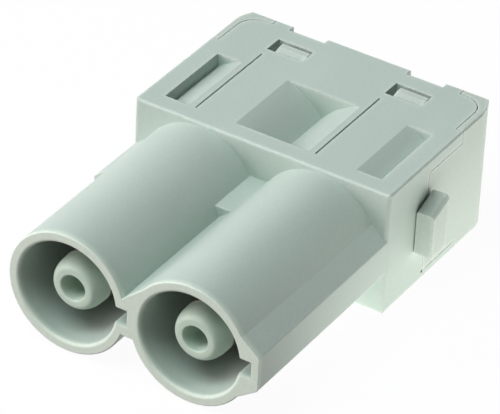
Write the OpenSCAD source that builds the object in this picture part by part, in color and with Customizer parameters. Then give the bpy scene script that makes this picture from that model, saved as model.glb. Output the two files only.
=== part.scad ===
// Two-pole high-current insert for a modular connector frame, pin side.
// Lengths are in millimetres. X runs across the two contacts, +Y points to the wire side,
// and the shrouds point to -Y. The origin is under the middle of the insert, on its bottom face.

/* [Box] */
// Width of the box, without the frame lugs
box_w = 31; // [30:0.1:34]
// Height of the box
box_h = 14.7; // [14.5:0.1:15.4]
// Depth of the box from its front face to its rear edge
box_d = 21.7; // [21:0.1:25]
// Radius of the moulded outer edges
edge_r = 0.25; // [0.1:0.05:0.4]
// Radius of the upright edges of the front face
front_edge_r = 0.5; // [0.2:0.05:0.6]
// Depth of the rounded rear corners, along the sides
corner_len = 3.2; // [2.5:0.1:4]
// Radius of the rounded rear corners
corner_r = 5.6; // [5:0.1:7]

/* [Contact axes] */
// Distance between the two contact axes
pitch = 14.6; // [14.4:0.1:15]
// How far the contact axes lie below the middle of the box
axis_drop = 0.15; // [0:0.05:0.3]

/* [Shrouds] */
// Length of the shrouds in front of the box
shroud_len = 24.2; // [20:0.1:30]
// Distance of the shrouds from the plane of the bottom face, at the box
shroud_floor = 0.1; // [0.05:0.05:0.3]
// How much smaller the outer radius of a shroud is at its mouth
shroud_taper = 0.1; // [0.05:0.05:0.3]
// Wall of a shroud at its mouth
shroud_wall = 1.15; // [0.9:0.05:1.4]
// Chamfer round the outside of the mouth
lip = 0.1; // [0.05:0.05:0.3]
// Radius of the inner edge of the mouth
mouth_round = 0.35; // [0.2:0.05:0.4]
// Thickness of the wall between shroud and contact chamber
neck_wall = 2.5; // [2:0.1:3.5]
// Part of that wall that stands in front of the box face
neck_front = 1.5; // [0.5:0.1:2]

/* [Keyways] */
// Distance from the contact axis to the floor of the keyway
key_reach = 7.3; // [6.8:0.05:7.4]
// Height of the keyway
key_h = 2.1; // [1.6:0.05:2.4]
// How far the middle of the keyway lies below the contact axis
key_drop = 0.1; // [0:0.05:0.3]
// Wall outside the keyway floor
boss_wall = 0.85; // [0.6:0.05:0.9]
// Height of the upper edge of the keyway boss over the contact axis
boss_top = 1.75; // [1.4:0.05:2]
// Angle at which the upper face of the boss meets the shroud, above the horizontal
boss_top_angle = 30; // [28:1:36]
// Depth of the lower edge of the keyway boss below the contact axis
boss_low = 2.2; // [1.6:0.05:2.4]
// Angle at which the lower face of the boss meets the shroud, below the horizontal
boss_low_angle = 33; // [30:1:40]
// Radius of the two long edges of the boss
boss_edge_r = 0.3; // [0.1:0.05:0.4]

/* [Bridge, web and rib] */
// Height of the upper edge of the bridge between the shrouds over the contact axis
bridge_top = 2; // [1.6:0.05:2.2]
// Angle at which the upper face of the bridge meets the right shroud, above the horizontal
bridge_top_angle = 36; // [34:1:38]
// Length of the web between the shrouds
web_len = 6.7; // [4:0.1:10]
// Half of the height of the web
web_half_h = 3.45; // [2:0.05:4]
// Length of the rib on the outer side of the left shroud
rib_len = 7.35; // [4:0.05:10]

/* [Contact chambers] */
// Bore of a chamber
chamber_r = 6.2; // [6.1:0.05:6.3]
// Radius of the arc of the chamber wall that is seen in the coring pockets
chamber_arc_r = 9.3; // [9.1:0.05:9.5]
// How far the middle of that arc lies beyond the contact axis
chamber_arc_drop = 1.35; // [1.2:0.05:1.5]

/* [Coring pockets] */
// Distance of the pockets from the front face
pocket_front = 2.2; // [1.5:0.1:3]
// Length of the pockets
pocket_len = 10.1; // [8:0.1:11]
// Thickness of the side wall outside the pockets
pocket_side_wall = 2.35; // [2.1:0.05:2.6]

/* [Latch windows] */
// Middle of the window, to the right of the contact axis
window_shift = 0.02; // [0:0.01:0.1]
// Width of the window
window_w = 4.35; // [4:0.05:4.6]
// Length of the window
window_len = 2.4; // [2:0.05:2.6]
// Distance of the window from the rear edge
window_rear = 3.1; // [2.9:0.05:3.3]
// Width of the latch nose in the window
nose_w = 3.45; // [3:0.05:3.6]
// Length of the latch nose
nose_len = 1.8; // [1.4:0.05:1.9]
// Length of the ramp on the latch nose
nose_ramp = 1.1; // [0.8:0.05:1.2]
// Fall of the ramp on the latch nose
nose_fall = 0.3; // [0.1:0.05:0.5]
// Distance of the relief groove from the contact axis
groove_shift = 2.05; // [1.8:0.05:2.2]
// Length of the relief groove
groove_len = 12.85; // [10:0.05:13]
// Width of the relief groove
groove_w = 0.2; // [0.15:0.01:0.3]
// Depth of the relief groove
groove_depth = 0.25; // [0.2:0.05:0.6]
// Width of the screwdriver notch in the rear edge
notch_w = 4.4; // [3.5:0.1:5]
// Depth of the screwdriver notch
notch_depth = 0.95; // [0.3:0.05:1.1]

/* [Rear cover] */
// Distance from the front face to the front edge of a side arm
arm_front = 8; // [7:0.1:9]
// Thickness of a side arm
arm_t = 0.8; // [0.6:0.05:0.9]
// Distance from the top face to the upper edge of a side arm
arm_top = 1.5; // [1.2:0.1:2]
// Distance from the bottom face to the lower edge of a side arm
arm_low = 1; // [0.5:0.05:1.2]
// Radius of the upper front corner of a side arm
arm_corner_r = 0.6; // [0.3:0.1:1.5]
// Radius of the relief at the lower front corner of the recess for an arm
relief_r = 0.2; // [0.15:0.05:0.3]
// Length of the corner cap along the side
cap_len = 6.95; // [6:0.05:7.5]
// Distance of the corner cap from the middle plane
cap_x = 11.65; // [11.2:0.05:12]
// Thickness of the corner cap at the rear edge
cap_t = 0.9; // [0.7:0.05:1]
// Radius of the joint between box and corner cap
cap_joint_r = 2.3; // [1.8:0.1:2.5]
// Thickness of the top and bottom plates behind the chambers
plate_t = 1.2; // [1:0.05:1.25]
// Thickness of the rear wall
rear_wall = 2; // [1.6:0.1:2.4]
// Joint gap between the two mouldings
joint_gap = 0.07; // [0.04:0.01:0.1]

/* [Wire entries] */
// Radius of the wire entry
wire_r = 4.8; // [4.2:0.05:5]
// Radius of the wire entry at the rear face
funnel_r = 5.5; // [5.2:0.05:5.7]
// Depth of the lead-in
funnel_depth = 0.8; // [0.4:0.1:1.2]
// Radial clearance of the entry sleeve in its chamber
sleeve_clear = 0.2; // [0.1:0.05:0.3]
// End play of the contact in its chamber
contact_float = 0.2; // [0.1:0.05:0.3]

/* [Frame lugs] */
// How far a lug stands out from the side
lug_out = 2.2; // [1.8:0.1:2.4]
// Length of a lug along the side
lug_len = 2.95; // [2.8:0.05:3.6]
// How far a lug reaches in front of its arm
lug_ahead = 2.35; // [1.8:0.05:2.4]
// Gap between the front of a lug and the side of the box
lug_gap = 0.12; // [0.08:0.01:0.2]
// Height of the lower end of a lug over the bottom face
lug_low = 4.65; // [3.5:0.05:5]
// Height of the front of a lug
lug_h = 5.15; // [4.5:0.05:6]
// Slope of the top of a lug, in degrees
lug_slope = 22; // [10:1:25]
// Radius of the outer top edge of a lug
lug_outer_r = 0.5; // [0.2:0.05:0.8]
// Radius of the inner top edge of a lug
lug_inner_r = 0.3; // [0.2:0.05:0.45]

/* [Contacts] */
// Radius of the contact pin
pin_r = 3; // [2.9:0.05:3.3]
// How much thicker the journal in the neck is than the pin, on the radius
journal_step = 0.25; // [0.2:0.05:0.4]
// Radial clearance of the journal in the neck
neck_clear = 0.1; // [0.05:0.05:0.2]
// Radial clearance of the contact barrel in its chamber
barrel_clear = 0.15; // [0.1:0.05:0.2]
// Wall of the wire chamber in the contact barrel
barrel_wall = 1.35; // [1.2:0.05:1.5]
// Thickness of the solid shoulder of the contact
shoulder_t = 1.8; // [1.5:0.1:2.2]
// Radius of the tapped hole for the clamp screw
tapped_r = 4; // [3.6:0.05:4.2]
// Length of the tapped hole
tapped_len = 5.2; // [4.5:0.1:6]
// Radius of the key passage through the pin
key_hole_r = 1.4; // [1.25:0.05:1.45]
// Chamfer on the turned edges
turned_edge = 0.3; // [0.1:0.05:0.4]

/* [Touch guards] */
// Distance of the tip from the mouth of the shroud
tip_set_back = 1.15; // [1:0.05:2]
// Length of the guard in front of the pin
guard_len = 2.45; // [2.3:0.05:3]
// Length of the dome
dome_len = 1.8; // [1.4:0.05:2.1]
// Radius of the flat ring at the tip
tip_ring_r = 2.05; // [1.9:0.05:2.3]
// Radius of the hole in the guard
guard_hole_r = 1.45; // [1.4:0.05:1.5]
// How much smaller the guard is than the pin, on the radius
guard_step = 0.05; // [0.02:0.01:0.1]
// Chamfer round the hole in the guard
guard_lip = 0.1; // [0.05:0.05:0.2]
// Radius of the stem in the pin
stem_r = 2.2; // [2.1:0.05:2.3]
// Length of the stem
stem_len = 3.5; // [2.5:0.1:5]
// Clearance of the stem in the pin
stem_clear = 0.03; // [0.02:0.01:0.06]

/* [Clamp screws] */
// Radial clearance of the screw in the tapped hole
thread_clear = 0.05; // [0.03:0.01:0.1]
// Length of the threaded part
thread_len = 4.4; // [3.5:0.1:4.5]
// Length of the clamping cone
cone_len = 5; // [3:0.1:6]
// Radius of the tip of the cone
cone_tip_r = 0.5; // [0.3:0.05:0.8]
// Radius of the foot of the cone
cone_foot_r = 3.2; // [2.8:0.05:3.5]
// Size of the hexagon socket, across flats
socket_af = 2; // [1.8:0.1:2.1]
// Depth of the hexagon socket
socket_depth = 2.6; // [2:0.1:3]

/* [Hidden] */
$fn = 64;

// Overlap that makes cuts clean
over = 1;
half_w = box_w / 2;
left_x = -pitch / 2;
right_x = pitch / 2;
axis_h = box_h / 2 - axis_drop;
shroud_base_r = axis_h - shroud_floor;
shroud_mouth_r = shroud_base_r - shroud_taper;
shroud_bore_r = shroud_mouth_r - shroud_wall;
// Y of the box's front face when the insert's middle is at the origin
face_y = (shroud_len - box_d) / 2;
boss_reach = key_reach + boss_wall;
pocket_wall_x = half_w - pocket_side_wall;
window_y = box_d - window_rear - window_len;
arm_x = half_w - arm_t;
cap_y = box_d - cap_len;
cap_joint_y = box_d - cap_t;
rear_wall_y = box_d - rear_wall;
neck_y = neck_wall - neck_front;
nose_y = window_y + joint_gap;
sleeve_r = chamber_r - sleeve_clear;
sleeve_y = nose_y - turned_edge;
barrel_r = chamber_r - barrel_clear;
barrel_end = sleeve_y - contact_float;
barrel_bore_r = barrel_r - barrel_wall;
tapped_y = neck_y + shoulder_t;
tip_y = tip_set_back - shroud_len;
pin_front = tip_y + guard_len;
guard_r = pin_r - guard_step;
journal_r = pin_r + journal_step;
journal_y = -neck_front - journal_step;
lug_front = arm_front - lug_ahead;
// Side view of the dome: an ellipse quarter from the ring at the tip to the full radius
dome_steps = 8;
// Number of flats in the round of a boss edge
round_steps = 5;

// Moves a shape from the front-face frame to the insert's own frame
module placed() {
    translate([0, face_y, 0]) children();
}

// Turns a shape made along +Z so that its +Z points to the wire side, on a contact axis
module on_axis(x, y = 0) {
    translate([x, y, axis_h]) rotate([-90, 0, 0]) children();
}

// Both contact axes in turn
module each_axis() {
    for (x = [left_x, right_x]) translate([x, 0, 0]) children();
}

// A shape and its mirror image on the other side of the middle plane
module both_sides() {
    for (side = [0, 1]) mirror([side, 0, 0]) children();
}

function unit(v) = v / norm(v);

// Points of a round of radius r at a corner of an outline that runs clockwise
function round_points(before, corner, after, r) =
    let (
        back = unit(before - corner),
        on = unit(after - corner),
        half = acos(back * on) / 2,
        middle = corner + r / sin(half) * unit(back + on),
        first = corner + r / tan(half) * back - middle,
        start = atan2(first.y, first.x)
    )
        [
            for (i = [0:round_steps])
                let (a = start - (180 - 2 * half) * i / round_steps)
                    middle + r * [cos(a), sin(a)]
        ];

module rounded_rect(w, h, r) {
    translate([r, 0]) square([w - 2 * r, h]);
    translate([0, r]) square([w, h - 2 * r]);
    for (x = [r, w - r], y = [r, h - r]) translate([x, y]) circle(r);
}

// Plan of the box with its rounded rear corners
module box_plan() {
    difference() {
        translate([-half_w, 0]) rounded_rect(box_w, box_d, front_edge_r);
        both_sides() difference() {
            translate([half_w - corner_r, box_d - corner_len])
                square([corner_r + over, corner_len + over]);
            translate([half_w - corner_r, box_d - corner_len]) circle(corner_r);
        }
    }
}

// Outside of the closed insert's box, with rounded edges in all three directions
module box_envelope() {
    intersection() {
        linear_extrude(box_h) box_plan();
        translate([0, box_d + over, 0]) rotate([90, 0, 0]) linear_extrude(box_d + 2 * over)
            translate([-half_w, 0]) rounded_rect(box_w, box_h, edge_r);
        translate([-half_w - over, 0, 0]) rotate([90, 0, 90]) linear_extrude(box_w + 2 * over)
            rounded_rect(box_d, box_h, edge_r);
    }
}

// Inner end of a face of the boss, which runs on inside the wall of the shroud
function run_in(corner, angle) =
    let (meeting = shroud_mouth_r * [cos(angle), sin(angle)])
        meeting + shroud_wall * unit(meeting - corner);

// Section of a keyway boss seen from the wire side, on the contact axis
module boss_section(top, top_angle, low_angle) {
    upper = [boss_reach, top];
    lower = [boss_reach, -boss_low];
    above = run_in(upper, top_angle);
    below = run_in(lower, -low_angle);
    polygon(concat(
        [[0, 0], above],
        round_points(above, upper, lower, boss_edge_r),
        round_points(upper, lower, below, boss_edge_r),
        [below]
    ));
}

// Turns a section into a bar of a given length in front of the box, past its round front edge
module bar(length) {
    translate([0, front_edge_r, axis_h]) rotate([90, 0, 0])
        linear_extrude(length + front_edge_r) children();
}

module boss(length) {
    bar(length) boss_section(boss_top, boss_top_angle, boss_low_angle);
}

// Bridge on the left of the right shroud, which closes the left keyway
module bridge() {
    level_angle = asin(boss_low / shroud_mouth_r);
    mirror([1, 0, 0]) bar(shroud_len) boss_section(bridge_top, bridge_top_angle, level_angle);
}

module shroud_outside() {
    on_axis(0) mirror([0, 0, 1]) rotate_extrude() polygon([
        [0, -over],
        [shroud_base_r, -over],
        [shroud_base_r, 0],
        [shroud_mouth_r, shroud_len - lip],
        [shroud_mouth_r - lip, shroud_len],
        [0, shroud_len]
    ]);
}

// Inside of a shroud, the neck for the pin and the chamber behind it
module contact_passage() {
    bore_len = shroud_len - neck_front;
    flare_r = shroud_bore_r + mouth_round;
    on_axis(0, -neck_front) mirror([0, 0, 1]) rotate_extrude() {
        square([shroud_bore_r, bore_len + over]);
        difference() {
            translate([0, bore_len - mouth_round]) square([flare_r, mouth_round + over]);
            translate([flare_r, bore_len - mouth_round]) circle(mouth_round);
        }
    }
    on_axis(0, -neck_front - over) cylinder(h = neck_wall + 2 * over, r = journal_r + neck_clear);
    on_axis(0, neck_y) cylinder(h = box_d, r = chamber_r);
}

module keyway() {
    key_len = shroud_len - neck_front;
    translate([0, -shroud_len - over, axis_h - key_drop - key_h / 2])
        cube([key_reach, key_len + over, key_h]);
}

// Outside of a chamber: an arc above and one below
module chamber_wall() {
    intersection() {
        translate([0, 0, -chamber_arc_drop]) on_axis(0, -over)
            cylinder(h = box_d + 2 * over, r = chamber_arc_r);
        translate([0, 0, chamber_arc_drop]) on_axis(0, -over)
            cylinder(h = box_d + 2 * over, r = chamber_arc_r);
    }
}

// Cores the space round the chamber walls from above and below
module coring_pockets() {
    difference() {
        translate([-pocket_wall_x, pocket_front, -over])
            cube([2 * pocket_wall_x, pocket_len, box_h + 2 * over]);
        each_axis() chamber_wall();
    }
}

module latch_window() {
    translate([window_shift - window_w / 2, window_y, -over])
        cube([window_w, window_len, box_h + 2 * over]);
}

module relief_groove() {
    for (z = [-over, box_h - groove_depth])
        translate([-groove_shift - groove_w / 2, pocket_front, z])
            cube([groove_w, groove_len, groove_depth + over]);
}

module screwdriver_notch() {
    translate([-notch_w / 2, box_d - notch_depth, -over])
        cube([notch_w, notch_depth + over, box_h + 2 * over]);
}

// Side view of an arm, grown by a gap on its free edges
module arm_side(gap) {
    low = arm_low - gap;
    top = box_h - arm_top + gap;
    front = arm_front - gap;
    r = arm_corner_r;
    translate([front, low]) square([box_d - front, top - low - r]);
    translate([front + r, low]) square([box_d - front - r, top - low]);
    translate([front + r, top - r]) circle(r);
}

// Relief at the lower front corner of the recess for the right arm
module recess_relief() {
    translate([arm_x - joint_gap, arm_front - joint_gap, arm_low - joint_gap])
        rotate([0, 90, 0]) cylinder(h = arm_t + over, r = relief_r);
}

// Plan of a corner cap: all that lies outside the rounded corner of the box plates
module cap_plan(gap) {
    inner_x = arm_x - gap;
    inner_y = cap_joint_y - gap;
    difference() {
        translate([cap_x - gap, cap_y - gap]) square([half_w, cap_len + gap + over]);
        square([inner_x, inner_y - cap_joint_r]);
        square([inner_x - cap_joint_r, inner_y]);
        translate([inner_x - cap_joint_r, inner_y - cap_joint_r]) circle(cap_joint_r);
    }
}

// Arms, corner caps and rear wall of the cover, grown by a gap towards the box
module cover_shell(gap) {
    both_sides() {
        translate([arm_x - gap, 0, 0]) rotate([90, 0, 90])
            linear_extrude(arm_t + gap + over) arm_side(gap);
        translate([0, 0, -over]) linear_extrude(box_h + 2 * over) cap_plan(gap);
    }
    translate([-arm_x - gap, rear_wall_y - gap, plate_t - gap])
        cube([2 * (arm_x + gap), rear_wall + gap + over, box_h - 2 * (plate_t - gap)]);
}

// One moulding: box, shrouds, bridge, web, rib and all coring
module insulator_body() {
    color([0.71, 0.77, 0.74]) placed() difference() {
        union() {
            box_envelope();
            each_axis() shroud_outside();
            translate([right_x, 0, 0]) {
                boss(shroud_len);
                bridge();
            }
            translate([left_x, 0, 0]) mirror([1, 0, 0]) boss(rib_len);
            translate([left_x, -web_len, axis_h - web_half_h]) cube([pitch, web_len + over, 2 * web_half_h]);
        }
        each_axis() {
            contact_passage();
            keyway();
            latch_window();
            relief_groove();
            screwdriver_notch();
        }
        coring_pockets();
        cover_shell(joint_gap);
        both_sides() recess_relief();
    }
}

// Entry sleeve with a latch nose above and below
module entry_sleeve() {
    on_axis(0, sleeve_y) cylinder(h = box_d - rear_wall / 2 - sleeve_y, r = sleeve_r);
    nose_x = window_shift + window_w / 2 - joint_gap - nose_w;
    translate([nose_x, 0, 0]) rotate([90, 0, 90]) linear_extrude(nose_w) polygon([
        [nose_y, nose_fall],
        [nose_y + nose_ramp, 0],
        [nose_y + nose_len, 0],
        [nose_y + nose_len, box_h],
        [nose_y + nose_ramp, box_h],
        [nose_y, box_h - nose_fall]
    ]);
}

module wire_entry() {
    on_axis(0, sleeve_y - over) cylinder(h = box_d - sleeve_y + 2 * over, r = wire_r);
    on_axis(0, box_d - funnel_depth) cylinder(h = funnel_depth, r1 = wire_r, r2 = funnel_r);
}

// Section of a lug across its sloped top: the outer and inner top edges are round
module lug_section() {
    w = lug_out - lug_gap;
    depth = 2 * lug_h;
    translate([0, -depth]) square([w, depth - lug_outer_r]);
    translate([lug_inner_r, -lug_outer_r]) square([w - lug_inner_r - lug_outer_r, lug_outer_r]);
    translate([0, -lug_outer_r]) square([w - lug_outer_r, lug_outer_r - lug_inner_r]);
    translate([w - lug_outer_r, -lug_outer_r]) circle(lug_outer_r);
    translate([lug_inner_r, -lug_inner_r]) circle(lug_inner_r);
}

// Lug on the right arm: a thin gap parts it from the box in front of the arm
module frame_lug() {
    lug_x = half_w + lug_gap;
    intersection() {
        translate([lug_x, lug_front, lug_low]) cube([lug_out, lug_len, 2 * lug_h]);
        translate([lug_x, lug_front, lug_low + lug_h]) rotate([lug_slope, 0, 0])
            translate([0, 2 * lug_len, 0]) rotate([90, 0, 0]) linear_extrude(4 * lug_len) lug_section();
    }
    translate([arm_x, arm_front, lug_low]) cube([arm_t + 2 * lug_gap, lug_len - lug_ahead, lug_h]);
}

// One moulding: rear wall, entry sleeves, arms, corner caps and lugs
module rear_cover() {
    color([0.74, 0.76, 0.74]) placed() {
        difference() {
            union() {
                intersection() {
                    box_envelope();
                    cover_shell(0);
                }
                each_axis() entry_sleeve();
            }
            each_axis() wire_entry();
        }
        both_sides() frame_lug();
    }
}

// Turned contact: hollow pin, shoulder, tapped hole and wire chamber
module contact_pin(x) {
    color([0.78, 0.78, 0.75]) placed() on_axis(x) rotate_extrude() polygon([
        [key_hole_r, pin_front + stem_len + stem_clear],
        [stem_r + stem_clear, pin_front + stem_len + stem_clear],
        [stem_r + stem_clear, pin_front],
        [pin_r, pin_front],
        [pin_r, journal_y],
        [journal_r, journal_y],
        [journal_r, neck_y],
        [barrel_r - turned_edge, neck_y],
        [barrel_r, neck_y + turned_edge],
        [barrel_r, barrel_end - turned_edge],
        [barrel_r - turned_edge, barrel_end],
        [barrel_bore_r + turned_edge, barrel_end],
        [barrel_bore_r, barrel_end - turned_edge],
        [barrel_bore_r, tapped_y + tapped_len],
        [tapped_r, tapped_y + tapped_len],
        [tapped_r, tapped_y],
        [key_hole_r, tapped_y]
    ]);
}

// Points of the dome from the ring at the tip to the full radius
function dome_points() = [
    for (i = [0:dome_steps])
        let (a = 90 * i / dome_steps)
            [tip_ring_r + (guard_r - tip_ring_r) * sin(a), tip_y + dome_len * (1 - cos(a))]
];

// Moulded touch guard: domed tip with a key hole and a stem that plugs into the pin
module touch_guard(x) {
    color([0.66, 0.73, 0.68]) placed() on_axis(x) rotate_extrude() polygon(concat(
        [[guard_hole_r, tip_y + guard_lip], [guard_hole_r + guard_lip, tip_y]],
        dome_points(),
        [
            [guard_r, pin_front],
            [stem_r, pin_front],
            [stem_r, pin_front + stem_len],
            [guard_hole_r, pin_front + stem_len]
        ]
    ));
}

// Clamp screw: threaded body with a hexagon socket to the front and a cone to the wire
module clamp_screw(x) {
    thread_r = tapped_r - thread_clear;
    color([0.62, 0.63, 0.64]) placed() on_axis(x, tapped_y) difference() {
        rotate_extrude() polygon([
            [0, 0],
            [thread_r - turned_edge, 0],
            [thread_r, turned_edge],
            [thread_r, thread_len - turned_edge],
            [thread_r - turned_edge, thread_len],
            [cone_foot_r, thread_len],
            [cone_tip_r, thread_len + cone_len],
            [0, thread_len + cone_len]
        ]);
        translate([0, 0, -over]) cylinder(h = socket_depth + over, r = socket_af / sqrt(3), $fn = 6);
    }
}

insulator_body();
rear_cover();
contact_pin(left_x);  // contact_pin_left
contact_pin(right_x);  // contact_pin_right
touch_guard(left_x);  // touch_guard_left
touch_guard(right_x);  // touch_guard_right
clamp_screw(left_x);  // clamp_screw_left
clamp_screw(right_x);  // clamp_screw_right
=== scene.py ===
"""Looks of a two-pole connector insert: finishes, threaded clamp screws, studio and camera.

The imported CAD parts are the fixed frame. A name says its unit, and a length without one is in metres.
"""

import logging
import math
from dataclasses import dataclass
from enum import Enum
from typing import Optional, Sequence, Union

import bpy
from mathutils import Matrix, Vector

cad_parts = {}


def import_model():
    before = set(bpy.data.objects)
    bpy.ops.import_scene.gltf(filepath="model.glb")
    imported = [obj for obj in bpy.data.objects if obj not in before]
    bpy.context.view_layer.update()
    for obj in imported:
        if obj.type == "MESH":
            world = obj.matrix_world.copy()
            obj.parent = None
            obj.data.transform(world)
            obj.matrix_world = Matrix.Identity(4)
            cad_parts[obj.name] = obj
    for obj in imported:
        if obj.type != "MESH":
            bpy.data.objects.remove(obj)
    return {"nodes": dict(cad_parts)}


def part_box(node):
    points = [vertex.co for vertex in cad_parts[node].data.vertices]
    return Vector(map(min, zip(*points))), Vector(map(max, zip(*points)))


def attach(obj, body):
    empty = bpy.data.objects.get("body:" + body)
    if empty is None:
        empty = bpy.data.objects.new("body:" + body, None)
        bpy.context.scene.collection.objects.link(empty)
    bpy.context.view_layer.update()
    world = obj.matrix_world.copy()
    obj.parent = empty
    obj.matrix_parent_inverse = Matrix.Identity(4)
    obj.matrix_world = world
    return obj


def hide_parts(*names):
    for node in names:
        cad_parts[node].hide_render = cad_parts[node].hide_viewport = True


MM = 0.001
ROOT = "root"
LOG = logging.getLogger("connector_insert")

Colour = tuple[float, float, float]
Triple = tuple[float, float, float]
Span = tuple[float, float]
Socket = bpy.types.NodeSocket
Number = Union[Socket, float]
Paint = Union[Socket, Colour]

WHITE = (1.0, 1.0, 1.0, 1.0)
TURNING_AXIS = "Y"
# Blender's wave pattern runs 20 radians over each metre at scale 1
WAVE_LENGTH_M = math.tau / 20


class Side(Enum):
    """The two poles of the insert, seen from the shrouds' side."""

    LEFT = "left"
    RIGHT = "right"


class Fade(Enum):
    """How a mapped number runs from one end of its range to the other."""

    STRAIGHT = "LINEAR"
    SOFT = "SMOOTHSTEP"


class NodeGraph:
    """Adds nodes to one node tree and joins them."""

    def __init__(self, tree: bpy.types.NodeTree) -> None:
        """Empties the tree.

        Args:
            tree: Node tree of a material or of the world.
        """
        self.tree = tree
        self.tree.nodes.clear()

    def add(self, kind: str) -> bpy.types.Node:
        """Adds a node of one of Blender's kinds."""
        return self.tree.nodes.new(kind)

    def put(self, socket: Socket, value: object) -> None:
        """Joins an output to an input, or sets a plain value on the input.

        Args:
            socket: The input.
            value: An output, or the plain value.
        """
        if isinstance(value, Socket):
            self.tree.links.new(value, socket)
        else:
            socket.default_value = value

    def maths(self, operation: str, first: Number, second: Number) -> Socket:
        """Adds a Math node.

        Args:
            operation: Blender's name of the operation.
            first: First operand.
            second: Second operand.

        Returns:
            The result.
        """
        node = self.add("ShaderNodeMath")
        node.operation = operation
        self.put(node.inputs[0], first)
        self.put(node.inputs[1], second)
        return node.outputs["Value"]

    def ramp(self, value: Socket, source: Span, target: Span, fade: Fade = Fade.STRAIGHT) -> Socket:
        """Maps one range of numbers to another, held at both ends.

        Args:
            value: The number to map.
            source: The number at the two ends.
            target: The results there.
            fade: How the result runs between the ends.

        Returns:
            The mapped number.
        """
        node = self.add("ShaderNodeMapRange")
        node.interpolation_type = fade.value
        names = ("From Min", "From Max", "To Min", "To Max")
        for name, end in zip(names, (*source, *target)):
            self.put(node.inputs[name], end)
        self.put(node.inputs["Value"], value)
        return node.outputs["Result"]

    def mix_shaders(self, share: Number, first: Socket, second: Socket) -> Socket:
        """Mixes two shaders.

        Args:
            share: Share of the second shader.
            first: First shader.
            second: Second shader.

        Returns:
            The mixed shader.
        """
        node = self.add("ShaderNodeMixShader")
        self.put(node.inputs["Fac"], share)
        self.put(node.inputs[1], first)
        self.put(node.inputs[2], second)
        return node.outputs["Shader"]

    def seen_straight(self) -> Socket:
        """Tells rays that show the background from rays that only carry its light.

        Returns:
            1 for camera, glossy and transmission rays, 0 for the rest.
        """
        rays = self.add("ShaderNodeLightPath").outputs
        shown = rays["Is Camera Ray"]
        for name in ("Is Glossy Ray", "Is Transmission Ray"):
            shown = self.maths("MAXIMUM", shown, rays[name])
        return shown


class FinishGraph(NodeGraph):
    """Node tree of one finish: a Principled shader with patterns on Object coordinates."""

    NOISE_SPAN = (0.3, 0.7)
    BEVEL_SAMPLES = 6
    EDGE_SAMPLES = 8
    EDGE_REACH = 4.5
    EDGE_GAIN = 2.0

    def __init__(self, name: str) -> None:
        """Starts a material with one Principled shader.

        Args:
            name: Name of the material.
        """
        self.material = bpy.data.materials.new(name)
        self.material.use_nodes = True
        super().__init__(self.material.node_tree)
        self.shader = self.add("ShaderNodeBsdfPrincipled")
        output = self.add("ShaderNodeOutputMaterial")
        self.put(output.inputs["Surface"], self.shader.outputs["BSDF"])
        self.place = self.add("ShaderNodeTexCoord").outputs["Object"]

    def set(self, **values: object) -> None:
        """Puts values on the shader's sockets; an underscore in a name stands for a space."""
        for name, value in values.items():
            self.put(self.shader.inputs[name.replace("_", " ")], value)

    def noise(self, size_mm: float, detail: float, stretch: Sequence[float] = (1, 1, 1)) -> Socket:
        """Adds a noise pattern.

        Args:
            size_mm: Size of one patch of the pattern.
            detail: Octaves of finer noise in it.
            stretch: Factor on each axis before the pattern is read.

        Returns:
            The noise value, about 0.5 on average.
        """
        mapping = self.add("ShaderNodeMapping")
        self.put(mapping.inputs["Scale"], stretch)
        self.put(mapping.inputs["Vector"], self.place)
        node = self.add("ShaderNodeTexNoise")
        self.put(node.inputs["Scale"], 1 / (size_mm * MM))
        self.put(node.inputs["Detail"], detail)
        self.put(node.inputs["Vector"], mapping.outputs["Vector"])
        return node.outputs["Fac"]

    def spread(self, noise: Socket, target: Span) -> Socket:
        """Spreads the usual values of a noise pattern over a range of numbers.

        Args:
            noise: The noise value.
            target: The two ends of the range.

        Returns:
            The mapped number.
        """
        return self.ramp(noise, self.NOISE_SPAN, target)

    def blend(self, share: Socket, first: Paint, second: Paint) -> Socket:
        """Mixes two colours.

        Args:
            share: Share of the second colour.
            first: First colour.
            second: Second colour.

        Returns:
            The mixed colour.
        """
        node = self.add("ShaderNodeMix")
        node.data_type = "RGBA"
        self.put(node.inputs["Factor"], share)
        for name, paint in (("A", first), ("B", second)):
            socket = next(s for s in node.inputs if s.name == name and s.type == "RGBA")
            self.put(socket, paint if isinstance(paint, Socket) else (*paint, 1.0))
        return next(s for s in node.outputs if s.type == "RGBA")

    def round_edges(self, radius_mm: float) -> tuple[Socket, Socket]:
        """Rounds the shading of edges, and finds outer edges by looking round from inside the piece.

        Args:
            radius_mm: Radius of the rounding; edges are found over EDGE_REACH times as much.

        Returns:
            The rounded normal, and a number that is 0 on open faces and about 1 at outer edges.
        """
        bevel = self.add("ShaderNodeBevel")
        bevel.samples = self.BEVEL_SAMPLES
        self.put(bevel.inputs["Radius"], radius_mm * MM)
        inner = self.add("ShaderNodeAmbientOcclusion")
        inner.inside = True
        inner.only_local = True
        inner.samples = self.EDGE_SAMPLES
        self.put(inner.inputs["Distance"], self.EDGE_REACH * radius_mm * MM)
        closed = self.maths("SUBTRACT", 1.0, inner.outputs["AO"])
        return bevel.outputs["Normal"], self.maths("MULTIPLY", closed, self.EDGE_GAIN)

    def wear_and_highlight(self, edge: Socket, strength: Number) -> Socket:
        """Gives the share of the surface near the edges that takes a paler colour, 1 at most: worn metal
        on turned metal, painted highlight on plastic.

        Args:
            edge: Number from round_edges.
            strength: Paler share at an edge.

        Returns:
            The worn share.
        """
        share = self.maths("MULTIPLY", edge, strength)
        share.node.use_clamp = True
        return share

    def bump(self, height: Socket, depth_mm: float, normal: Socket) -> Socket:
        """Adds relief to a normal.

        Args:
            height: Height from 0 to 1.
            depth_mm: Real depth of the relief.
            normal: Normal to start from.

        Returns:
            The new normal.
        """
        node = self.add("ShaderNodeBump")
        self.put(node.inputs["Distance"], depth_mm * MM)
        self.put(node.inputs["Height"], height)
        self.put(node.inputs["Normal"], normal)
        return node.outputs["Normal"]


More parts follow.
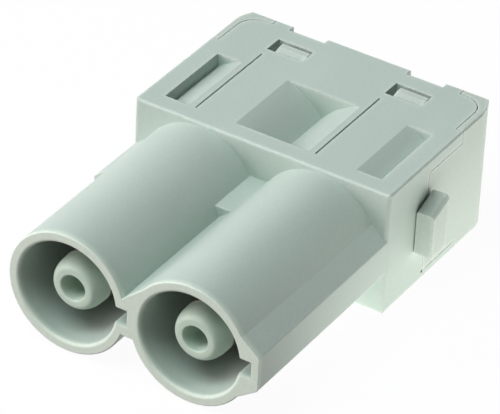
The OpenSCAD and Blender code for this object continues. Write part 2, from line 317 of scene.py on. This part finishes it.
@dataclass(frozen=True)
class MouldedPlastic:
    """Satin moulded plastic with spark-eroded grain, flow mottling, and paler edges that are a painted
    highlight.
    """

    name: str
    colour: Colour
    pale: Colour
    roughness: float = 0.46
    roughness_swing: Span = (-0.05, 0.05)
    shine: float = 0.3
    ior: float = 1.5
    flow_mm: float = 7.0
    flow_detail: float = 3.0
    flow_stretch: Triple = (1.0, 0.45, 1.0)
    flow_gain: Span = (0.955, 1.03)
    speck_mm: float = 0.35
    speck_detail: float = 2.0
    speck_share: Span = (0.0, 0.1)
    grain_mm: float = 0.11
    grain_detail: float = 3.0
    grain_depth_mm: float = 0.0035
    edge_mm: float = 0.12
    # Share of the pale colour at outer edges: a painted highlight that lifts the dark shading of their
    # rounding
    edge_wear_and_highlight: Span = (0.2, 0.6)
    rim_flat_mm: float = 0.1
    rim_fade_mm: float = 0.8
    rim_rub_and_highlight: Span = (0.8, 1.0)
    rim_colour: Colour = (0.72, 0.81, 0.72)

    def make(self, rim_y_mm: Optional[float] = None) -> bpy.types.Material:
        """Builds the material.

        Args:
            rim_y_mm: Place of a front rim that is made paler, if there is one: rubbed by the mating half,
                and a painted highlight for the light on the rims.

        Returns:
            The finished material.
        """
        graph = FinishGraph(self.name)
        normal, edge = graph.round_edges(self.edge_mm)
        flow = graph.noise(self.flow_mm, self.flow_detail, self.flow_stretch)
        speck = graph.noise(self.speck_mm, self.speck_detail)
        grain = graph.noise(self.grain_mm, self.grain_detail)
        shade, light = (tuple(gain * c for c in self.colour) for gain in self.flow_gain)
        colour = graph.blend(graph.spread(flow, (0.0, 1.0)), shade, light)
        colour = graph.blend(graph.spread(speck, self.speck_share), colour, self.pale)
        # Paler outer edges: painted highlight, where the rounded edges would otherwise shade dark
        edge_highlight = graph.wear_and_highlight(edge, graph.spread(speck, self.edge_wear_and_highlight))
        colour = graph.blend(edge_highlight, colour, self.pale)
        # Paler shroud rims: rubbed by the mating half, and a painted highlight
        if rim_y_mm is not None:
            colour = self.rub_and_highlight_rim(graph, colour, speck, rim_y_mm)
        rough = graph.spread(flow, tuple(self.roughness + swing for swing in self.roughness_swing))
        relief = graph.bump(grain, self.grain_depth_mm, normal)
        graph.set(Base_Color=colour, Roughness=rough, Normal=relief)
        graph.set(IOR=self.ior, Metallic=0.0, Specular_IOR_Level=self.shine)
        return graph.material

    def rub_and_highlight_rim(self, graph: FinishGraph, colour: Socket, speck: Socket, rim_y_mm: float) -> Socket:
        """Pales the colour at the rim, less and less behind it: partly rubbing by the mating half, partly
        a painted highlight.

        Args:
            graph: Graph of the material.
            colour: Colour of the plastic.
            speck: Noise that breaks up the pale band.
            rim_y_mm: Place of the rim.

        Returns:
            The colour with the paler rim.
        """
        axes = graph.add("ShaderNodeSeparateXYZ")
        graph.put(axes.inputs["Vector"], graph.place)
        fade = ((rim_y_mm + self.rim_flat_mm) * MM, (rim_y_mm + self.rim_fade_mm) * MM)
        band = graph.ramp(axes.outputs["Y"], fade, (1.0, 0.0))
        share = graph.maths("MULTIPLY", band, graph.spread(speck, self.rim_rub_and_highlight))
        return graph.blend(share, colour, self.rim_colour)


@dataclass(frozen=True)
class TurnedMetal:
    """Lathe-turned metal: fine tool marks round its axis, with a thin uneven tarnish."""

    name: str
    colour: Colour
    tarnish: Colour
    roughness: float
    roughness_swing: Span = (-0.06, 0.08)
    feed_mm: float = 0.503
    mark_depth_mm: float = 0.002
    mark_waver: float = 0.6
    mark_detail: float = 1.0
    cloud_mm: float = 1.6
    cloud_detail: float = 4.0
    tarnish_share: Span = (0.05, 0.55)
    edge_mm: float = 0.08
    edge_wear_and_highlight: float = 0.8
    edge_gain: float = 1.08

    def make(self) -> bpy.types.Material:
        """Builds the material.

        Returns:
            The finished material.
        """
        graph = FinishGraph(self.name)
        normal, edge = graph.round_edges(self.edge_mm)
        marks = graph.add("ShaderNodeTexWave")
        marks.wave_type = "BANDS"
        marks.bands_direction = TURNING_AXIS
        graph.put(marks.inputs["Scale"], WAVE_LENGTH_M / (self.feed_mm * MM))
        graph.put(marks.inputs["Distortion"], self.mark_waver)
        graph.put(marks.inputs["Detail"], self.mark_detail)
        graph.put(marks.inputs["Vector"], graph.place)
        cloud = graph.noise(self.cloud_mm, self.cloud_detail)
        colour = graph.blend(graph.spread(cloud, self.tarnish_share), self.colour, self.tarnish)
        bright = tuple(self.edge_gain * c for c in self.colour)
        colour = graph.blend(graph.wear_and_highlight(edge, self.edge_wear_and_highlight), colour, bright)
        rough = graph.spread(cloud, tuple(self.roughness + swing for swing in self.roughness_swing))
        relief = graph.bump(marks.outputs["Fac"], self.mark_depth_mm, normal)
        graph.set(Base_Color=colour, Roughness=rough, Normal=relief, Metallic=1.0)
        return graph.material


BODY_PLASTIC = MouldedPlastic("body_plastic", colour=(0.508, 0.600, 0.548), pale=(0.77, 0.83, 0.78))
COVER_PLASTIC = MouldedPlastic("cover_plastic", colour=(0.522, 0.600, 0.546), pale=(0.78, 0.83, 0.77))
GUARD_PLASTIC = MouldedPlastic(
    "guard_plastic", colour=(0.550, 0.680, 0.575), pale=(0.70, 0.80, 0.70), roughness=0.4
)
# Contact pins darkened to a brown metal: painted shade for the deep bores, together with tarnish
CONTACT_SILVER_SHADED = TurnedMetal(
    "contact_silver", colour=(0.36, 0.34, 0.29), tarnish=(0.15, 0.13, 0.10), roughness=0.34
)
SCREW_STEEL = TurnedMetal(
    "screw_steel", colour=(0.58, 0.59, 0.60), tarnish=(0.38, 0.37, 0.36), roughness=0.32
)


def dress(piece: bpy.types.Object, material: bpy.types.Material) -> None:
    """Gives a piece one material all over.

    Args:
        piece: The piece.
        material: Its finish.
    """
    piece.data.materials.clear()
    piece.data.materials.append(material)


def start_piece() -> None:
    """Deselects everything, so that the next operators act on the new piece alone."""
    if bpy.context.object and bpy.context.object.mode != "OBJECT":
        bpy.ops.object.mode_set(mode="OBJECT")
    bpy.ops.object.select_all(action="DESELECT")


def apply_modifier(piece: bpy.types.Object, kind: str, **settings: object) -> None:
    """Adds a modifier with its settings and applies it.

    Args:
        piece: The piece, which becomes the active object.
        kind: Blender's type of the modifier.
        settings: Values of its properties.
    """
    bpy.context.view_layer.objects.active = piece
    modifier = piece.modifiers.new(kind.lower(), kind)
    for name, value in settings.items():
        setattr(modifier, name, value)
    bpy.ops.object.modifier_apply(modifier=modifier.name)


@dataclass
class ClampScrew:
    """Axial clamp screw: fine thread, hexagon socket to the front, cone towards the wire."""

    side: Side
    pitch_mm: float = 1.0
    thread_mm: float = 4.4
    thread_depth_share: float = 0.6134
    flank_deg: float = 30.0
    spare_turns: int = 2
    chamfer_mm: float = 0.3
    chamfer_above_deg: float = 60.0
    cone_foot_r_mm: float = 3.2
    cone_tip_r_mm: float = 0.5
    socket_af_mm: float = 2.0
    socket_depth_mm: float = 2.6
    sides: int = 64
    end_face_cosine: float = 0.99
    weld_mm: float = 0.0001
    smooth_below_deg: float = 30.0

    @property
    def node(self) -> str:
        """Name of the CAD node that the screw stands for."""
        return f"clamp_screw_{self.side.value}"

    def blank(self, radius: float, length: float) -> bpy.types.Object:
        """Models the plain screw along +Z, with its front face at the origin.

        Args:
            radius: Outer radius of the thread, in metres.
            length: Whole length with the cone, in metres.

        Returns:
            The blank.
        """
        start_piece()
        thread = self.thread_mm * MM
        bpy.ops.mesh.primitive_cylinder_add(
            vertices=self.sides, radius=radius, depth=thread, location=(0, 0, thread / 2)
        )
        bpy.ops.object.transform_apply(location=True)
        blank = bpy.context.object
        chamfer = self.chamfer_mm * MM
        apply_modifier(
            blank, "BEVEL", width=chamfer, segments=1, limit_method="ANGLE",
            angle_limit=math.radians(self.chamfer_above_deg),
        )
        bpy.ops.object.mode_set(mode="EDIT")
        bpy.ops.mesh.select_all(action="DESELECT")
        bpy.ops.object.mode_set(mode="OBJECT")
        for face in blank.data.polygons:
            face.select = face.normal.z > self.end_face_cosine
        bpy.ops.object.mode_set(mode="EDIT")
        foot = self.cone_foot_r_mm * MM
        bpy.ops.mesh.inset(thickness=radius - chamfer - foot)
        bpy.ops.mesh.extrude_region_move(TRANSFORM_OT_translate={"value": (0, 0, length - thread)})
        shrink = self.cone_tip_r_mm * MM / foot
        bpy.ops.transform.resize(value=(shrink, shrink, 1))
        bpy.ops.object.mode_set(mode="OBJECT")
        return blank

    def groove_cutter(self, radius: float) -> bpy.types.Object:
        """Models the helical groove between the turns of the thread.

        Args:
            radius: Outer radius of the thread, in metres.

        Returns:
            The cutter, a closed helix a little longer than the thread.
        """
        pitch = self.pitch_mm * MM
        root = radius - self.thread_depth_share * pitch
        mouth = root + pitch
        half = pitch * math.tan(math.radians(self.flank_deg))
        profile = ((root, 0, 0), (mouth, 0, half), (mouth, 0, -half))
        start_piece()
        bpy.ops.mesh.primitive_circle_add(vertices=len(profile), fill_type="NGON")
        cutter = bpy.context.object
        for vertex, point in zip(cutter.data.vertices, profile):
            vertex.co = Vector(point) - Vector((0, 0, pitch))
        turns = math.ceil(self.thread_mm / self.pitch_mm) + self.spare_turns
        apply_modifier(
            cutter, "SCREW", angle=turns * math.tau, screw_offset=turns * pitch, steps=turns * self.sides,
            render_steps=turns * self.sides, axis="Z", use_merge_vertices=False,
        )
        bpy.ops.object.mode_set(mode="EDIT")
        bpy.ops.mesh.select_all(action="SELECT")
        bpy.ops.mesh.remove_doubles(threshold=self.weld_mm * MM)
        bpy.ops.mesh.fill_holes(sides=len(profile))
        bpy.ops.mesh.normals_make_consistent(inside=False)
        bpy.ops.object.mode_set(mode="OBJECT")
        return cutter

    def socket_cutter(self) -> bpy.types.Object:
        """Models the hexagon key's end, which cuts the socket.

        Returns:
            The cutter, which stands out in front of the screw.
        """
        start_piece()
        corner = self.socket_af_mm * MM / math.sqrt(3)
        depth = 2 * self.socket_depth_mm * MM
        bpy.ops.mesh.primitive_cylinder_add(vertices=6, radius=corner, depth=depth)
        return bpy.context.object

    def build(self) -> bpy.types.Object:
        """Models the screw at the place of its CAD node.

        Returns:
            The finished piece, with its place in its mesh.
        """
        low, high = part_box(self.node)
        radius = (high.x - low.x) / 2
        screw = self.blank(radius, high.y - low.y)
        for cutter in (self.groove_cutter(radius), self.socket_cutter()):
            start_piece()
            apply_modifier(screw, "BOOLEAN", operation="DIFFERENCE", solver="EXACT", object=cutter)
            bpy.data.objects.remove(cutter)
        start_piece()
        screw.select_set(True)
        bpy.context.view_layer.objects.active = screw
        turn = Matrix.Rotation(-math.pi / 2, 4, "X")
        screw.matrix_world = Matrix.Translation(((low.x + high.x) / 2, low.y, (low.z + high.z) / 2)) @ turn
        bpy.ops.object.transform_apply(location=True, rotation=True, scale=True)
        bpy.ops.object.shade_smooth_by_angle(angle=math.radians(self.smooth_below_deg))
        screw.name = f"threaded_screw_{self.side.value}"
        return screw

    def dress(self, piece: bpy.types.Object, finish: bpy.types.Material) -> None:
        """Finishes the screw and puts it in the place of its CAD node.

        Args:
            piece: The screw.
            finish: Its metal.
        """
        dress(piece, finish)
        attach(piece, ROOT)
        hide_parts(self.node)


@dataclass
class Contact:
    """One pole: turned contact pin, moulded touch guard and threaded clamp screw."""

    side: Side
    metal: bpy.types.Material
    guard: bpy.types.Material
    steel: bpy.types.Material

    def build(self, nodes: dict[str, bpy.types.Object]) -> list[str]:
        """Dresses the CAD nodes of the pole and models its screw.

        Args:
            nodes: The CAD nodes by name.

        Returns:
            Names of the finished pieces.
        """
        pin = nodes[f"contact_pin_{self.side.value}"]
        tip = nodes[f"touch_guard_{self.side.value}"]
        dress(pin, self.metal)
        dress(tip, self.guard)
        screw = ClampScrew(self.side)
        piece = screw.build()
        screw.dress(piece, self.steel)
        return [pin.name, tip.name, piece.name]


@dataclass
class Mouldings:
    """The two plastic mouldings: insulator with its shrouds, and rear cover."""

    body_node: str = "insulator_body"
    cover_node: str = "rear_cover"

    def build(self, nodes: dict[str, bpy.types.Object]) -> list[str]:
        """Dresses both mouldings; the shrouds' rims are the front of the insulator.

        Args:
            nodes: The CAD nodes by name.

        Returns:
            Names of the finished pieces.
        """
        front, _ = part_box(self.body_node)
        # The shrouds' rims are paled: rubbed by the mating half, and a painted highlight
        dress(nodes[self.body_node], BODY_PLASTIC.make(front.y / MM))
        dress(nodes[self.cover_node], COVER_PLASTIC.make())
        return [self.body_node, self.cover_node]


@dataclass(frozen=True)
class Lamp:
    """A square soft lamp that points at the insert."""

    name: str
    watts: float
    azimuth_deg: float
    elevation_deg: float
    colour: Colour
    size_m: float = 0.4
    away_m: float = 0.7

    def build(self) -> None:
        """Hangs the lamp; its azimuth is counted from +X towards +Y."""
        lamp = bpy.data.lights.new(self.name, "AREA")
        lamp.energy = self.watts
        lamp.size = self.size_m
        lamp.color = self.colour
        holder = bpy.data.objects.new(self.name, lamp)
        bpy.context.scene.collection.objects.link(holder)
        turn, rise = math.radians(self.azimuth_deg), math.radians(self.elevation_deg)
        level = math.cos(rise)
        towards = Vector((level * math.cos(turn), level * math.sin(turn), math.sin(rise)))
        holder.location = towards * self.away_m
        holder.rotation_euler = towards.to_track_quat("Z", "Y").to_euler()


KEY_LAMP = Lamp("key_lamp", watts=3.75, azimuth_deg=222.0, elevation_deg=12.0, colour=(1.0, 0.90, 0.90))
TOP_LAMP = Lamp("top_lamp", watts=3.1, azimuth_deg=240.0, elevation_deg=66.0, colour=(0.92, 1.0, 0.99))
BACK_LAMP = Lamp("back_lamp", watts=1.15, azimuth_deg=160.0, elevation_deg=55.0, colour=(0.98, 0.98, 1.0))


@dataclass
class Studio:
    """White table and soft lamps, with a long lens on the insert."""

    lamps: Sequence[Lamp] = (KEY_LAMP, TOP_LAMP, BACK_LAMP)
    table_m: float = 4.0
    table_tint: Colour = (1.0, 1.0, 0.95)
    table_glow: Span = (2.4, 0.3)
    glow_mid_mm: Triple = (45.0, 35.0, 0.0)
    glow_fade_mm: Span = (42.0, 68.0)
    room_glow: float = 0.02
    shadow_share: float = 0.05
    azimuth_deg: float = 30.828
    elevation_deg: float = 34.529
    roll_deg: float = 2.916
    distance_mm: float = 413.85
    aim_mm: Triple = (0.0, 1.25, 7.066)
    aim_right_mm: float = -0.775
    aim_up_mm: float = 0.092
    focal_mm: float = 288.19
    film_mm: float = 36.0

    def glow_of_table(self, graph: NodeGraph) -> Socket:
        """Gives the light that the table throws on the insert, most of it beside and behind.

        Args:
            graph: Graph of the table.

        Returns:
            The strength of the glow.
        """
        away = graph.add("ShaderNodeVectorMath")
        away.operation = "DISTANCE"
        graph.put(away.inputs[0], graph.add("ShaderNodeTexCoord").outputs["Object"])
        graph.put(away.inputs[1], Vector(self.glow_mid_mm) * MM)
        near, far = self.glow_fade_mm
        return graph.ramp(away.outputs["Value"], (near * MM, far * MM), self.table_glow, Fade.SOFT)

    def lay_table(self) -> None:
        """Lays the white table that the insert stands on, which glows like a light table."""
        start_piece()
        bpy.ops.mesh.primitive_plane_add(size=self.table_m)
        table = bpy.context.object
        table.name = "table"
        material = bpy.data.materials.new("white_table")
        material.use_nodes = True
        graph = NodeGraph(material.node_tree)
        matt = graph.add("ShaderNodeBsdfDiffuse")
        graph.put(matt.inputs["Color"], WHITE)
        white = graph.add("ShaderNodeEmission")
        graph.put(white.inputs["Color"], WHITE)
        glow = graph.add("ShaderNodeEmission")
        graph.put(glow.inputs["Color"], (*self.table_tint, 1.0))
        graph.put(glow.inputs["Strength"], self.glow_of_table(graph))
        shown = graph.mix_shaders(self.shadow_share, white.outputs["Emission"], matt.outputs["BSDF"])
        picked = graph.mix_shaders(graph.seen_straight(), glow.outputs["Emission"], shown)
        graph.put(graph.add("ShaderNodeOutputMaterial").inputs["Surface"], picked)
        dress(table, material)

    def light_room(self) -> None:
        """Sets a dim room, seen as white."""
        world = bpy.data.worlds.new("room")
        bpy.context.scene.world = world
        world.use_nodes = True
        graph = NodeGraph(world.node_tree)
        dim = graph.add("ShaderNodeBackground")
        graph.put(dim.inputs["Color"], WHITE)
        graph.put(dim.inputs["Strength"], self.room_glow)
        white = graph.add("ShaderNodeBackground")
        graph.put(white.inputs["Color"], WHITE)
        picked = graph.mix_shaders(
            graph.seen_straight(), dim.outputs["Background"], white.outputs["Background"]
        )
        graph.put(graph.add("ShaderNodeOutputWorld").inputs["Surface"], picked)

    def set_camera(self) -> None:
        """Places the camera at the photograph's viewing angle."""
        turn, tilt = math.radians(self.azimuth_deg), math.radians(self.elevation_deg)
        back = Vector((math.sin(turn) * math.cos(tilt), -math.cos(turn) * math.cos(tilt), math.sin(tilt)))
        level = Vector((math.cos(turn), math.sin(turn), 0))
        right = Matrix.Rotation(math.radians(self.roll_deg), 3, back) @ level
        up = back.cross(right)
        aim = Vector(self.aim_mm) + self.aim_right_mm * right + self.aim_up_mm * up
        camera = bpy.data.cameras.new("camera")
        camera.sensor_width = self.film_mm
        camera.lens = self.focal_mm
        holder = bpy.data.objects.new("camera", camera)
        bpy.context.scene.collection.objects.link(holder)
        pose = Matrix((right, up, back)).transposed().to_4x4()
        pose.translation = (aim + self.distance_mm * back) * MM
        holder.matrix_world = pose
        bpy.context.scene.camera = holder

    def build(self) -> None:
        """Sets up the table, the light, the camera and the plain view transform."""
        self.lay_table()
        self.light_room()
        for lamp in self.lamps:
            lamp.build()
        self.set_camera()
        bpy.context.scene.view_settings.view_transform = "Standard"


def main() -> None:
    """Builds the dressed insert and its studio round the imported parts."""
    logging.basicConfig(level=logging.INFO, format="%(message)s")
    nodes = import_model()["nodes"]
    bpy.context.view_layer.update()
    shaded_silver, guard, steel = CONTACT_SILVER_SHADED.make(), GUARD_PLASTIC.make(), SCREW_STEEL.make()
    made = Mouldings().build(nodes)
    for side in Side:
        made += Contact(side, shaded_silver, guard, steel).build(nodes)
    for name in made:
        LOG.info("finished %s", name)
    Studio().build()


if __name__ == "__main__":
    main()
